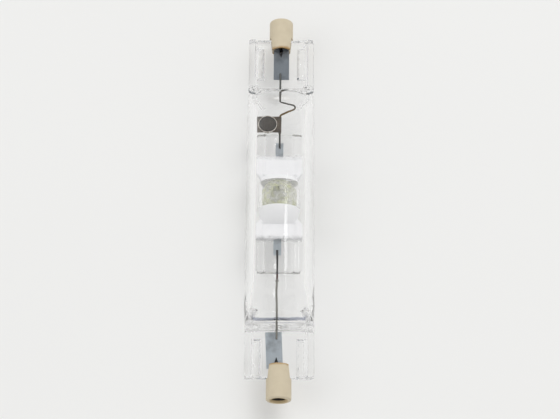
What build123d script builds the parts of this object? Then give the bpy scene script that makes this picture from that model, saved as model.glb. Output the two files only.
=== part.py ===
from build123d import *
from math import pi, sin, sqrt
import os

os.makedirs("parts", exist_ok=True)

# A double-ended metal halide lamp, in millimetres.
# Y runs along the lamp, towards the end that carries the getter (the far end).
# Z is square to the flat press seals, and the origin is the middle of the lamp.

# The whole lamp
overall_length = 132.0

# Ceramic caps
cap_length = 11.0
cap_diameter = 7.8
cap_mouth_inset = 0.35
cap_taper_length = 3.6
cap_overlap = 4.0
cap_rim_radius = 0.45
cap_wall = 1.1
cap_hollow_past_seal = 1.8
cap_slot_clearance = 0.3
cap_slot_past_seal = 0.4
recess_diameter = 5.0
recess_depth = 1.9

# Contacts in the caps
contact_diameter = 4.4
contact_head = 0.5
contact_sunk = 0.05
contact_side_clearance = 0.03
contact_edge_bevel = 0.15
contact_stem_diameter = 1.9
contact_stem_reach = 0.1

# Cement between cap and glass
cement_depth = 2.0
cement_side_inset = 0.5

# Outer envelope
tube_diameter = 22.0
tube_wall = 3.0
seal_length = 19.0
shoulder_past_cavity = 3.4
shoulder_length = 7.4
cavity_nose_length = 7.5
cavity_nose_flare = 0.6
seal_side_inset = 0.3
seal_thickness = 3.3
seal_end_bevel = 0.3
rib_width = 2.4
rib_thickness = 5.2
rib_edge_radius = 0.9
boss_share = 0.505
pocket_depth = 0.4
pocket_wall_angle = 30.0
pocket_corner_radius = 0.8
pocket_to_seal_end = 1.3
pocket_to_cavity = 5.6
pocket_rib_gap = 0.1

# Seal foils and leads of the outer envelope
seal_foil_width = 5.1
seal_foil_thickness = 0.06
seal_foil_to_end = 3.0
seal_foil_to_cavity = 4.2
far_foil_x = 0.1
near_foil_x = -1.5
near_foil_skew = -2.4
outer_lead_diameter = 1.1
outer_lead_lap = 3.6
outer_lead_point = 1.7
outer_lead_bend_radius = 0.75
outer_lead_exit = 0.4
outer_lead_straight = 0.45
far_outer_lead_x = 0.0
near_outer_lead_x = -0.8
inner_lead_diameter = 0.65
inner_lead_lap = 2.3
weld_flat = 0.05
far_lead_x = -0.2
near_lead_x = -0.75

# Arc tube
arc_tube_x = -0.3
far_wire_room = 16.5
near_wire_room = 15.2
chamber_offset = 0.7
chamber_share = 0.3
barrel_to_wall = 1.25
barrel_wall = 1.15
barrel_past_chamber = 1.5
neck_share = 0.785
arc_seal_to_wall = 0.7
arc_seal_thickness = 2.8
arc_shoulder_to_barrel_end = 2.4
arc_shoulder_length = 2.6
arc_rib_width = 2.6
arc_rib_thickness = 3.6
arc_rib_edge_radius = 0.7
arc_corner_radius = 1.1
arc_foil_width = 2.4
arc_foil_thickness = 0.05
arc_far_foil_inset_share = 0.191
arc_near_foil_inset_share = 0.333
arc_foil_to_chamber_share = 0.19
arc_near_foil_x = -0.45
arc_far_foil_x = 0.0
arc_lead_lap_share = 0.2

# Electrodes
electrode_reach = 2.7
electrode_diameter = 0.5
electrode_lap_share = 0.18
coil_wire_diameter = 0.3
coil_wire_sides = 6
coil_turns = 4
coil_pitch = 0.34
coil_from_tip = 0.5
coil_clearance = 0.02

# White coats on the arc tube
coat_thickness = 0.12
far_coat_start_share = 0.8
near_coat_start_share = 0.5
far_coat_share = 0.667
near_coat_share = 0.58

# Getter on the far wire
strip_to_wall = 0.25
strip_width = 5.7
strip_thickness = 0.25
strip_to_arc_tube = 0.7
cup_share = 0.8
cup_height = 0.9
cup_wall = 0.25
cup_rim_bevel = 0.08
cup_past_strip_middle = 0.18
cup_to_arc_tube = 0.25
pellet_clearance = 0.03
pellet_height = 0.5

# The far wire's bend
bend_start_to_seal = 3.1
bend_peak_drop = 2.8
bend_end_to_strip = 0.7
bend_to_wall = 1.7
bend_radii = (1.2, 1.2, 0.8)
near_splice_to_arc_tube = 2.6
weld_bead_diameter = 1.1

# Halide salts
dose_depth = 0.35

# How finely the pressed ends are lofted, and how near to nothing their last ellipse comes
shoulder_sections = 8
shoulder_reach = 0.996
barrel_sections = 14
barrel_reach = 0.985

# Places worked out from the sizes above
lamp_end = overall_length / 2
cap_inner_end = lamp_end - cap_length
seal_end = cap_inner_end + cap_overlap
cavity_end = seal_end - seal_length
shoulder_end = cavity_end + shoulder_past_cavity
shoulder_start = shoulder_end - shoulder_length
cap_mouth_diameter = cap_diameter - 2 * cap_mouth_inset
cap_hollow_diameter = cap_diameter - 2 * cap_wall
slot_end = seal_end + cap_slot_past_seal
hollow_end = seal_end + cap_hollow_past_seal
recess_floor = lamp_end - recess_depth
contact_seat = recess_floor - contact_sunk - contact_head
tube_radius = tube_diameter / 2
cavity_radius = tube_radius - tube_wall
cavity_nose_half_width = cavity_radius + cavity_nose_flare
seal_width = tube_diameter - 2 * seal_side_inset
boss_width = boss_share * seal_width
foil_outer = seal_end - seal_foil_to_end
foil_inner = cavity_end + seal_foil_to_cavity
lead_radius = inner_lead_diameter / 2
lead_z = seal_foil_thickness / 2 + lead_radius - weld_flat
outer_lead_radius = outer_lead_diameter / 2
outer_lead_z = seal_foil_thickness / 2 + outer_lead_radius - weld_flat
bend_reach = cavity_radius - bend_to_wall
barrel_diameter = 2 * (cavity_radius - barrel_to_wall)
neck_width = neck_share * barrel_diameter
arc_seal_width = 2 * (cavity_radius - arc_seal_to_wall)
arc_far_end = cavity_end - far_wire_room
arc_near_end = near_wire_room - cavity_end
chamber_y = (arc_far_end + arc_near_end) / 2 + chamber_offset
chamber_length = chamber_share * (arc_far_end - arc_near_end)
barrel_radius = barrel_diameter / 2
chamber_radius = barrel_radius - barrel_wall
barrel_half_length = chamber_length / 2 + barrel_past_chamber
arc_shoulder_start = barrel_half_length - arc_shoulder_to_barrel_end
electrode_gap = chamber_length - 2 * electrode_reach
strip_near_edge = arc_far_end + strip_to_arc_tube
strip_far_edge = strip_near_edge + strip_width
strip_middle = (strip_near_edge + strip_far_edge) / 2
strip_underside = lead_z + lead_radius
strip_top = strip_underside + strip_thickness
strip_length = cavity_radius - strip_to_wall + far_lead_x
cup_from_wire = strip_length / 2 + cup_past_strip_middle
cup_diameter = cup_share * strip_length
cup_y = arc_far_end + cup_to_arc_tube + cup_diameter / 2


def across(y):
    """A sketch plane square to the lamp at y, with its X along the lamp's X."""
    return Plane(origin=(0, y, 0), x_dir=(1, 0, 0), z_dir=(0, 1, 0))


def rod(radius, start, stop, x=0.0, z=0.0):
    """A round rod along Y from start to stop."""
    low = min(start, stop)
    return Pos(x, low, z) * extrude(across(0) * Circle(radius), abs(stop - start))


def block(x_range, y_range, z_range):
    """A box between three pairs of limits."""
    sizes = [high - low for low, high in (x_range, y_range, z_range)]
    middle = [(high + low) / 2 for low, high in (x_range, y_range, z_range)]
    return Pos(*middle) * Box(*sizes)


def turned(outline):
    """A solid turned about Y from an outline in the XY plane."""
    return revolve(make_face(outline), Axis.Y)


def near_end(shape):
    """The same shape at the near end of the lamp."""
    return mirror(shape, about=Plane.XZ)


def flattened_end(start, length, radius, end_half_width):
    """A round end pressed flat: ellipses that keep their width while their height falls to nothing."""
    sections = []
    for step in range(shoulder_sections + 1):
        share = shoulder_reach * sin(step / shoulder_sections * pi / 2)
        y = start + length * share
        half_height = radius * sqrt(1.0 - share * share)
        half_width = radius + (end_half_width - radius) * share ** 2
        sections.append(across(y) * Ellipse(half_width, half_height))
    return loft(sections)


def seal_blank():
    """One press seal without its pockets: a flat web between two thicker side ribs."""
    web = Rectangle(seal_width - rib_width, seal_thickness)
    rib = RectangleRounded(rib_width, rib_thickness, rib_edge_radius)
    rib_x = (seal_width - rib_width) / 2
    profile = web + Pos(rib_x, 0) * rib + Pos(-rib_x, 0) * rib
    start = shoulder_start + tube_wall
    blank = Pos(0, start, 0) * extrude(across(0) * profile, seal_end - start)
    end_edges = blank.faces().sort_by(Axis.Y)[-1].edges()
    return chamfer(end_edges, seal_end_bevel)


def pocket():
    """The shallow pocket pressed between the middle boss and a side rib."""
    inner_x = boss_width / 2
    outer_x = seal_width / 2 - rib_width - pocket_rib_gap
    start = cavity_end + pocket_to_cavity
    stop = seal_end - pocket_to_seal_end
    width = outer_x - inner_x
    radius = min(pocket_corner_radius, width * 0.45)
    mouth = Pos((inner_x + outer_x) / 2, (start + stop) / 2) * RectangleRounded(width, stop - start, radius)
    return extrude(Plane.XY.offset(seal_thickness / 2) * mouth, -pocket_depth, taper=pocket_wall_angle)


def envelope_end():
    """The far shoulder and press seal, solid, with four pockets in the seal's faces."""
    shoulder = flattened_end(shoulder_start, shoulder_length, tube_radius, seal_width / 2)
    end = shoulder + seal_blank()
    hollow = pocket()
    for shape in (hollow, mirror(hollow, about=Plane.YZ)):
        end = end - shape - mirror(shape, about=Plane.XY)
    return end


def envelope_cavity():
    """The space inside the outer envelope, with its ends pressed to a straight line."""
    start = cavity_end - cavity_nose_length
    nose = flattened_end(start, cavity_nose_length, cavity_radius, cavity_nose_half_width)
    return rod(cavity_radius, -start, start) + nose + near_end(nose)


def seal_foil(x, skew):
    """A foil sealed in the far press seal."""
    foil = block((-seal_foil_width / 2, seal_foil_width / 2), (foil_inner, foil_outer),
                 (-seal_foil_thickness / 2, seal_foil_thickness / 2))
    middle = Vector(0, (foil_inner + foil_outer) / 2, 0)
    turn = Pos(x, middle.Y, 0) * Rot(0, 0, skew) * Pos(0, -middle.Y, 0)
    return turn * foil


def above_foil(wire):
    """A wire with a flat where it lies on a foil."""
    reach = lamp_end
    return wire - block((-reach, reach), (foil_inner - weld_flat, foil_outer + weld_flat),
                        (-reach, seal_foil_thickness / 2))


def outer_lead(x):
    """The stiff lead from the far seal foil to the contact, with a pointed tip on the foil."""
    tip = foil_outer - outer_lead_lap
    point = Pos(x, tip, outer_lead_z) * turned(
        Polyline((0, 0), (outer_lead_radius, outer_lead_point), (0, outer_lead_point), close=True))
    start = tip + outer_lead_point
    stem_start = contact_seat - contact_stem_length()
    bend_start = seal_end + outer_lead_exit
    bend_end = stem_start - outer_lead_straight
    corners = [(x, start, outer_lead_z), (x, bend_start, outer_lead_z),
               (0, bend_end, 0), (0, contact_seat, 0)]
    path = FilletPolyline(*corners, radius=outer_lead_bend_radius)
    shaft = sweep(across(start) * Pos(x, -outer_lead_z) * Circle(outer_lead_radius), path)
    return above_foil(shaft + point)


def contact_stem_length():
    """How far the contact's stem reaches in from the underside of its head."""
    return contact_seat - hollow_end + contact_stem_reach


def contact():
    """The far contact: a button sunk in the recess floor, on a tubular stem that grips the outer lead."""
    head = rod(contact_diameter / 2, contact_seat, contact_seat + contact_head)
    rim = head.edges().filter_by(GeomType.CIRCLE).sort_by(Axis.Y)[-1]
    head = chamfer(rim, contact_edge_bevel)
    stem = rod(contact_stem_diameter / 2, contact_seat - contact_stem_length(), contact_seat)
    return head + stem - rod(outer_lead_radius, seal_end, contact_seat)


def end_cap():
    """The far ceramic cap: a tapered barrel, slotted over the glass, with a recess for the contact."""
    radius = cap_diameter / 2
    mouth = cap_mouth_diameter / 2
    rim = cap_rim_radius
    taper_end = cap_inner_end + cap_taper_length
    side = Polyline((0, cap_inner_end), (mouth, cap_inner_end), (radius, taper_end), (radius, lamp_end - rim))
    corner = RadiusArc((radius, lamp_end - rim), (radius - rim, lamp_end), -rim)
    top = Polyline((radius - rim, lamp_end), (0, lamp_end), (0, cap_inner_end))
    body = turned(side + corner + top)
    hollow = rod(cap_hollow_diameter / 2, cap_inner_end, hollow_end)
    stem_hole = rod(contact_stem_diameter / 2, hollow_end, contact_seat)
    seat = rod(contact_diameter / 2 + contact_side_clearance, contact_seat, recess_floor)
    recess = rod(recess_diameter / 2, recess_floor, lamp_end)
    return body - hollow - slot() - stem_hole - seat - recess


def slot(side_inset=0.0):
    """The slot that straddles the press seal, or the part of it that lies inside the cap's side."""
    half = cap_diameter / 2 - side_inset
    height = seal_thickness / 2 + cap_slot_clearance
    return block((-half, half), (cap_inner_end, slot_end), (-height, height))


def cement(lead, glass, stem):
    """The cement that fills the back of the far cap round the glass and the lead."""
    front = hollow_end - cement_depth
    filling = rod(cap_hollow_diameter / 2, front, hollow_end)
    wide = cap_diameter
    filling = filling + (slot(cement_side_inset) & block((-wide, wide), (front, slot_end), (-wide, wide)))
    return filling - glass - lead - stem


def far_inner_lead():
    """The wire from the far seal foil, bent in an S to stretch with heat, that ends in the strip's fold."""
    start = foil_inner + inner_lead_lap
    first = cavity_end - bend_start_to_seal
    last = strip_far_edge + bend_end_to_strip
    peak = first - bend_peak_drop
    corners = [(far_lead_x, start, lead_z), (far_lead_x, first, lead_z), (bend_reach, peak, lead_z),
               (far_lead_x, last, lead_z), (far_lead_x, strip_middle, lead_z)]
    path = FilletPolyline(*corners, radius=list(bend_radii))
    wire = sweep(across(start) * Pos(far_lead_x, -lead_z) * Circle(lead_radius), path)
    return above_foil(wire)


def near_inner_lead():
    """The straight wire from the near seal foil to its weld on the arc tube's lead."""
    splice = arc_near_end - near_splice_to_arc_tube
    wire = rod(lead_radius, -foil_inner - inner_lead_lap, splice, near_lead_x, lead_z)
    bead = Pos(near_lead_x, splice - weld_bead_diameter / 2, lead_z) * Sphere(weld_bead_diameter / 2)
    return near_end(above_foil(near_end(wire))) + bead


def getter_strip():
    """A strip of steel with one end rolled round the far wire."""
    roll = Circle(lead_radius + strip_thickness)
    flat = Rectangle(strip_length, strip_thickness)
    flat = Pos(-strip_length / 2, lead_radius + strip_thickness / 2) * flat
    section = roll + flat - Circle(lead_radius)
    plane = Plane(origin=(far_lead_x, strip_far_edge, lead_z), x_dir=(1, 0, 0), z_dir=(0, -1, 0))
    return extrude(plane * section, strip_width)


def cup_place():
    """The middle of the cup's underside, on top of the strip."""
    return Pos(far_lead_x - cup_from_wire, cup_y, strip_top)


def getter_cup():
    """A shallow round cup welded on the strip."""
    radius = cup_diameter / 2
    body = Cylinder(radius, cup_height, align=(Align.CENTER, Align.CENTER, Align.MIN))
    inside = Pos(0, 0, cup_wall) * Cylinder(radius - cup_wall, cup_height,
                                            align=(Align.CENTER, Align.CENTER, Align.MIN))
    cup = body - inside
    cup = chamfer(cup.faces().sort_by(Axis.Z)[-1].edges(), cup_rim_bevel)
    return cup_place() * cup


def getter_pellet():
    """The pressed getter that lies in the cup."""
    radius = cup_diameter / 2 - cup_wall - pellet_clearance
    pellet = Cylinder(radius, pellet_height, align=(Align.CENTER, Align.CENTER, Align.MIN))
    return cup_place() * Pos(0, 0, cup_wall) * pellet


def barrel(grow):
    """The arc tube's barrel: round in the middle, pressed flat towards its two necks."""
    sections = []
    for step in range(barrel_sections + 1):
        share = barrel_reach * sin((step / barrel_sections - 0.5) * pi)
        half_height = barrel_radius * sqrt(1.0 - share * share) + grow
        half_width = neck_width / 2 + (barrel_radius - neck_width / 2) * (1.0 - share * share) + grow
        sections.append(across(share * barrel_half_length) * Ellipse(half_width, half_height))
    return Pos(arc_tube_x, chamber_y, 0) * loft(sections)


def arc_seal(end, grow):
    """A press seal of the arc tube: its shoulders, web and side ribs, towards an end at y."""
    side = 1 if end > chamber_y else -1
    neck = neck_width / 2 + grow
    wide = arc_seal_width / 2 + grow
    root = chamber_y + side * (arc_shoulder_start - arc_shoulder_length)
    shoulder = chamber_y + side * arc_shoulder_start
    full = chamber_y + side * (arc_shoulder_start + arc_shoulder_length)
    tip = end + side * grow
    outline = Polyline((neck, root), (neck, shoulder), (wide, full), (wide, tip), (-wide, tip), (-wide, full),
                       (-neck, shoulder), (-neck, root), close=True)
    plan = make_face(outline)
    corners = plan.vertices().filter_by(lambda v: abs(v.Y - tip) < 0.001)
    plan = fillet(corners, arc_corner_radius)
    half = arc_seal_thickness / 2 + grow
    web = extrude(plan, half, both=True)
    rib_half = arc_rib_width / 2 + grow
    rib_x = arc_seal_width / 2 - arc_rib_width / 2
    rib_shape = RectangleRounded(2 * rib_half, arc_rib_thickness + 2 * grow, arc_rib_edge_radius)
    rib_shape = Pos(rib_x, 0) * rib_shape + Pos(-rib_x, 0) * rib_shape
    ribs = Pos(0, min(root, tip), 0) * extrude(across(0) * rib_shape, abs(tip - root))
    ribs = ribs & extrude(plan, barrel_diameter, both=True)
    return Pos(arc_tube_x, 0, 0) * (web + ribs)


def arc_body(grow=0.0):
    """The outside of the arc tube, grown by a thickness for the coats."""
    return barrel(grow) + arc_seal(arc_far_end, grow) + arc_seal(arc_near_end, grow)


def chamber():
    """The space inside the barrel."""
    half = chamber_length / 2
    arc = EllipticalCenterArc((0, 0), chamber_radius, half, start_angle=-90, arc_size=180)
    return Pos(arc_tube_x, chamber_y, 0) * turned(arc + Line((0, half), (0, -half)))


def arc_foil_ends(arc_end, inset_share):
    """The two ends of a foil in the seal at arc_end: the one by the chamber, then the outer one."""
    side = 1 if arc_end > chamber_y else -1
    chamber_end = chamber_y + side * chamber_length / 2
    run = arc_end - chamber_end
    return (chamber_end + arc_foil_to_chamber_share * run, arc_end - inset_share * run)


def arc_foil(x, ends):
    """A foil in an arc tube seal."""
    half = arc_foil_width / 2
    half_thickness = arc_foil_thickness / 2
    return block((x - half, x + half), (min(ends), max(ends)), (-half_thickness, half_thickness))


def arc_lead(x, ends, stop, foil):
    """The wire that leaves an arc tube seal, flat where it lies on its foil."""
    inner, outer = ends
    wire = rod(lead_radius, outer - arc_lead_lap_share * (outer - inner), stop, x, lead_z)
    return wire - foil_shadow(foil)


def foil_shadow(foil):
    """The space under the top face of a foil, to cut the flat of a wire that is welded on it."""
    box = foil.bounding_box()
    depth = barrel_radius
    return block((box.min.X - depth, box.max.X + depth), (box.min.Y, box.max.Y), (-depth, box.max.Z))


def electrode_rod(side, x, ends, foil):
    """A tungsten rod from its foil to the tip in the chamber."""
    radius = electrode_diameter / 2
    inner, outer = ends
    root = inner + electrode_lap_share * (outer - inner)
    tip = chamber_y + side * electrode_gap / 2
    z = arc_foil_thickness / 2 + radius - weld_flat
    return rod(radius, root, tip, x, z) - foil_shadow(foil)


def electrode_coil(side, x):
    """The coil wound on a rod behind its tip."""
    radius = electrode_diameter / 2 + coil_clearance + coil_wire_diameter / 2
    z = arc_foil_thickness / 2 + electrode_diameter / 2 - weld_flat
    height = coil_turns * coil_pitch
    start = electrode_gap / 2 + coil_from_tip
    path = Helix(coil_pitch, height, radius)
    profile = Plane(path @ 0, z_dir=path % 0) * RegularPolygon(coil_wire_diameter / 2, coil_wire_sides)
    coil = Pos(0, start, 0) * Rot(-90, 0, 0) * sweep(profile, path, is_frenet=True)
    if side < 0:
        coil = near_end(coil)
    return Pos(x, chamber_y, z) * coil


def end_coat(arc_end, start_share, end_share):
    """The white coat on one end of the arc tube, from the barrel onto its seal."""
    side = 1 if arc_end > chamber_y else -1
    first = chamber_y + side * start_share * chamber_length / 2
    last = chamber_y + end_share * (arc_end - chamber_y)
    wide = tube_diameter
    span = block((-wide, wide), (min(first, last), max(first, last)), (-wide, wide))
    return (arc_body(coat_thickness) & span) - arc_body()


def halide_dose():
    """The salts, frozen as a thin patch on the floor of the chamber."""
    wide = barrel_diameter
    floor = -chamber_radius
    low = block((-wide, wide), (chamber_y - wide, chamber_y + wide), (floor - wide, floor + dose_depth))
    return chamber() & low


def write(name, shape):
    """One STEP file for one piece."""
    shape.label = name
    export_step(shape, f"parts/{name}.step")


# Pieces of the two ends
far_foil = seal_foil(far_foil_x, 0.0)
near_foil = near_end(seal_foil(near_foil_x, near_foil_skew))
far_outer_lead = outer_lead(far_outer_lead_x)
near_outer_lead = near_end(outer_lead(near_outer_lead_x))
far_contact = contact()
near_contact = near_end(far_contact)
far_cap = end_cap()
far_blank = envelope_end()
far_wire = far_inner_lead()
near_wire = near_inner_lead()

# The outer envelope, cut by what is sealed in it
straight = rod(tube_radius, -shoulder_start, shoulder_start)
outer_bulb = straight + far_blank + near_end(far_blank) - envelope_cavity()
for sealed in (far_foil, near_foil, far_outer_lead, near_outer_lead, far_wire, near_wire):
    outer_bulb = outer_bulb - sealed

# Pieces of the arc tube
far_foil_ends = arc_foil_ends(arc_far_end, arc_far_foil_inset_share)
near_foil_ends = arc_foil_ends(arc_near_end, arc_near_foil_inset_share)
far_arc_foil = arc_foil(arc_tube_x + arc_far_foil_x, far_foil_ends)
near_arc_foil = arc_foil(arc_tube_x + arc_near_foil_x, near_foil_ends)
far_arc_lead = arc_lead(far_lead_x, far_foil_ends, strip_middle, far_arc_foil)
near_arc_lead = arc_lead(near_lead_x, near_foil_ends, arc_near_end - near_splice_to_arc_tube, near_arc_foil)
far_rod = electrode_rod(1, arc_tube_x, far_foil_ends, far_arc_foil)
near_rod = electrode_rod(-1, arc_tube_x, near_foil_ends, near_arc_foil)

# The arc tube, cut by what is sealed in it
arc_tube = arc_body() - chamber()
for sealed in (far_arc_foil, near_arc_foil, far_arc_lead, near_arc_lead, far_rod, near_rod):
    arc_tube = arc_tube - sealed

pieces = {
    "outer_bulb": outer_bulb,
    "end_cap_far": far_cap,
    "end_cap_near": near_end(far_cap),
    "contact_far": far_contact,
    "contact_near": near_contact,
    "cement_far": cement(far_outer_lead, far_blank, far_contact),
    "cement_near": near_end(cement(near_end(near_outer_lead), far_blank, far_contact)),
    "outer_lead_far": far_outer_lead,
    "outer_lead_near": near_outer_lead,
    "seal_foil_far": far_foil,
    "seal_foil_near": near_foil,
    "inner_lead_far": far_wire,
    "inner_lead_near": near_wire,
    "getter_strip": getter_strip(),
    "getter_cup": getter_cup(),
    "getter_pellet": getter_pellet(),
    "arc_tube": arc_tube,
    "arc_foil_far": far_arc_foil,
    "arc_foil_near": near_arc_foil,
    "arc_lead_far": far_arc_lead,
    "arc_lead_near": near_arc_lead,
    "electrode_rod_far": far_rod,
    "electrode_rod_near": near_rod,
    "electrode_coil_far": electrode_coil(1, arc_tube_x),
    "electrode_coil_near": electrode_coil(-1, arc_tube_x),
    "end_coat_far": end_coat(arc_far_end, far_coat_start_share, far_coat_share),
    "end_coat_near": end_coat(arc_near_end, near_coat_start_share, near_coat_share),
    "halide_dose": halide_dose(),
}
for name, shape in pieces.items():
    write(name, shape)
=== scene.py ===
from math import pi, radians

import bmesh
import bpy
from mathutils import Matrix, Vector


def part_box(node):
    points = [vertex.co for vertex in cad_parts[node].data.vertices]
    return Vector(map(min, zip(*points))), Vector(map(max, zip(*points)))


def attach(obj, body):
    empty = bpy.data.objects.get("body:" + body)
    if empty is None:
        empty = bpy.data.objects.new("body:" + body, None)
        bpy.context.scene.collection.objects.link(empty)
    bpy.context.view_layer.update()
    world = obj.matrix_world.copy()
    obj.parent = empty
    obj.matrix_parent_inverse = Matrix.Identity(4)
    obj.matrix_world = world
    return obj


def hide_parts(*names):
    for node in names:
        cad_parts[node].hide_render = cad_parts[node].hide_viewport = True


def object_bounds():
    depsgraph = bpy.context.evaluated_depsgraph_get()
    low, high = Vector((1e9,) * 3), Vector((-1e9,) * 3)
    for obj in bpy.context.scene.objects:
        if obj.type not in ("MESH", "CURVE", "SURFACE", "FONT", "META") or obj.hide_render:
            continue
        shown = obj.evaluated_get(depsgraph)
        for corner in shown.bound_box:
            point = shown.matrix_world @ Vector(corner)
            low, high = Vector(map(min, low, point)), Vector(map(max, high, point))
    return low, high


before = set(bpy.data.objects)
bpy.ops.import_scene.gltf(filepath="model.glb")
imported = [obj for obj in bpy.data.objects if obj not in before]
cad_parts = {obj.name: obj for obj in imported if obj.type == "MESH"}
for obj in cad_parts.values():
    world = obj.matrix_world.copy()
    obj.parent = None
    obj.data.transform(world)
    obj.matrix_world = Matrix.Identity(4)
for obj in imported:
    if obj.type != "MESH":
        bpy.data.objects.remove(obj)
cad_box = [list(corner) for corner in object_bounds()]
scene = bpy.context.scene
scene.view_settings.view_transform = "Standard"
mm = 0.001

# Light crosses up to eight faces of glass on its way in, and as many on its way out.
glass_bounces = 32
clear_crossings = 40
scene.cycles.max_bounces = glass_bounces
scene.cycles.glossy_bounces = glass_bounces
scene.cycles.transmission_bounces = glass_bounces
scene.cycles.transparent_max_bounces = clear_crossings

# The photographer's place: above the lamp's near end, looking down along it.
# A long lens from about half a metre, so that the two ends are drawn nearly alike.
camera_place = Vector((0.0, -214.2, 475.6)) * mm
looked_at = Vector((0.0, -2.44, 0.0)) * mm
camera_roll = radians(0.446)
film_width = 36.0
lens_length = 104.7
camera = bpy.data.objects.new("camera", bpy.data.cameras.new("camera"))
camera.data.sensor_width = film_width
camera.data.lens = lens_length
camera.data.clip_start = 0.01
camera.location = camera_place
camera.rotation_mode = "QUATERNION"
camera.rotation_quaternion = (looked_at - camera_place).to_track_quat("-Z", "Y")
camera.rotation_mode = "XYZ"
camera.rotation_euler.rotate_axis("Z", camera_roll)
scene.collection.objects.link(camera)
scene.camera = camera


# The table: a plain white sheet of board that the lamp lies on, wide enough to fill every view.
# The lamp touches it along the bottom of its round tube.
floor_half_size = 2.5
floor_colour = (0.918, 0.918, 0.912)
floor_unevenness = 0.006


def linear(shade):
    """A colour as seen on a screen, turned into the light it stands for."""
    return tuple(c / 12.92 if c <= 0.04045 else ((c + 0.055) / 1.055) ** 2.4 for c in shade) + (1.0,)


class Wire:
    """A socket of a node tree. Sums on it add the Math nodes, and node() adds any other node."""

    def __init__(self, tree, socket=None):
        self.tree = tree
        self.socket = socket

    def node(self, kind, settings=None, inputs=None, output=0):
        made = self.tree.nodes.new(kind)
        for name, value in (settings or {}).items():
            if name == "items":
                while len(made.index_switch_items) < value:
                    made.index_switch_items.new()
            else:
                setattr(made, name, value)
        for name, value in (inputs or {}).items():
            if isinstance(value, Wire):
                self.tree.links.new(value.socket, made.inputs[name])
            else:
                made.inputs[name].default_value = value
        return Wire(self.tree, made.outputs[output])

    def maths(self, operation, *values):
        return self.node("ShaderNodeMath", {"operation": operation}, dict(enumerate(values)))

    def __add__(self, other):
        return self.maths("ADD", self, other)

    def __sub__(self, other):
        return self.maths("SUBTRACT", self, other)

    def __rsub__(self, other):
        return self.maths("SUBTRACT", other, self)

    def __mul__(self, other):
        return self.maths("MULTIPLY", self, other)

    def __truediv__(self, other):
        return self.maths("DIVIDE", self, other)

    def __rtruediv__(self, other):
        return self.maths("DIVIDE", other, self)

    def __pow__(self, other):
        return self.maths("POWER", self, other)

    __radd__ = __add__
    __rmul__ = __mul__

    def clamped(self):
        return self.maths("MINIMUM", self.maths("MAXIMUM", self, 0.0), 1.0)

    def size(self):
        return self.maths("ABSOLUTE", self)

    def rises(self, start, stop):
        """0 before start and 1 after stop, with a soft step between."""
        return self.node("ShaderNodeMapRange", {"interpolation_type": "SMOOTHSTEP"},
                         {"Value": self, "From Min": start, "From Max": stop})

    def between(self, low, high):
        """This share of the way from one colour to another."""
        return self.node("ShaderNodeMix", {"data_type": "RGBA"}, {0: self, 6: low, 7: high}, output=2)


def material(name):
    """A new material, with a Wire to build it by and its surface socket."""
    made = bpy.data.materials.new(name)
    made.use_nodes = True
    made.node_tree.nodes.clear()
    start = Wire(made.node_tree)
    return made, start, start.node("ShaderNodeTexCoord", output=3)


def finish_material(made, surface):
    """Links a shader to the material's output."""
    out = made.node_tree.nodes.new("ShaderNodeOutputMaterial")
    made.node_tree.links.new(surface.socket, out.inputs["Surface"])
    return made


def noise(start, place, scale, stretch=(1.0, 1.0, 1.0), detail=3.0, roughness=0.5):
    """A cloudy value from 0 to 1, with so many clouds to the metre, stretched along an axis."""
    spread = start.node("ShaderNodeMapping", {}, {"Vector": place, "Scale": stretch})
    return start.node("ShaderNodeTexNoise", {"normalize": True},
                      {"Vector": spread, "Scale": scale, "Detail": detail, "Roughness": roughness})


def white_board():
    """Matt white board with very faint clouds."""
    made, start, place = material("white_board")
    darker = linear([c - floor_unevenness for c in floor_colour])
    lighter = linear([c + floor_unevenness for c in floor_colour])
    board = start.node("ShaderNodeBsdfPrincipled", {}, {
        "Base Color": noise(start, place, 6.0).between(darker, lighter), "Roughness": 0.9,
        "Specular IOR Level": 0.1})
    return finish_material(made, board)


def plane(name, half, z):
    """A square sheet facing up at height z."""
    mesh = bpy.data.meshes.new(name)
    corners = [(-half, -half, z), (half, -half, z), (half, half, z), (-half, half, z)]
    mesh.from_pydata(corners, [], [(0, 1, 2, 3)])
    piece = bpy.data.objects.new(name, mesh)
    scene.collection.objects.link(piece)
    return piece


floor = plane("floor", floor_half_size, cad_box[0][2])
floor.data.materials.append(white_board())

# The light: one wide soft lamp overhead and to the right, and a weaker one from the left. Glass and metal
# show a room that is dimmer overhead and dark beyond both ends of the table. A small soft box draws the
# long highlight on the arc tube.
white = (1.0, 1.0, 1.0, 1.0)
room_light = 0.7
room_horizon = 0.92
room_overhead = 0.36
horizon_top = 0.1
overhead_start = 0.55
dark_end = (0.1, 0.115, 0.19, 1.0)
dark_end_sides = (0.35, 0.75)
dark_end_top = (0.4, 0.7)
soft_lamps = {
    "main_lamp": ((0.55, 0.75, 1.5), 1.3, 11.5),
    "side_lamp": ((-1.2, -0.3, 1.1), 0.9, 3.0),
}
camera_ray = 0
shadow_ray = 1
diffuse_ray = 2
glossy_ray = 3
transmission_ray = 6
diffuse_depth = 9
highlight_place = (0.335, 0.365, 0.85)
highlight_size = (0.1, 0.085)
highlight_power = 0.12


def soft_lamp(name, place, size, power, seen):
    """A square lamp aimed at the middle of the object."""
    light = bpy.data.lights.new(name, "AREA")
    light.shape = "RECTANGLE"
    light.size = size[0]
    light.size_y = size[1]
    light.energy = power
    lamp = bpy.data.objects.new(name, light)
    lamp.location = place
    lamp.rotation_euler = (-Vector(place)).to_track_quat("-Z", "Y").to_euler()
    lamp.visible_glossy = seen
    lamp.visible_transmission = seen
    lamp.visible_camera = False
    scene.collection.objects.link(lamp)


for lamp_name, (lamp_place, lamp_size, lamp_power) in soft_lamps.items():
    soft_lamp(lamp_name, lamp_place, (lamp_size, lamp_size), lamp_power, False)
soft_lamp("highlight_lamp", highlight_place, highlight_size, highlight_power, True)

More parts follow.
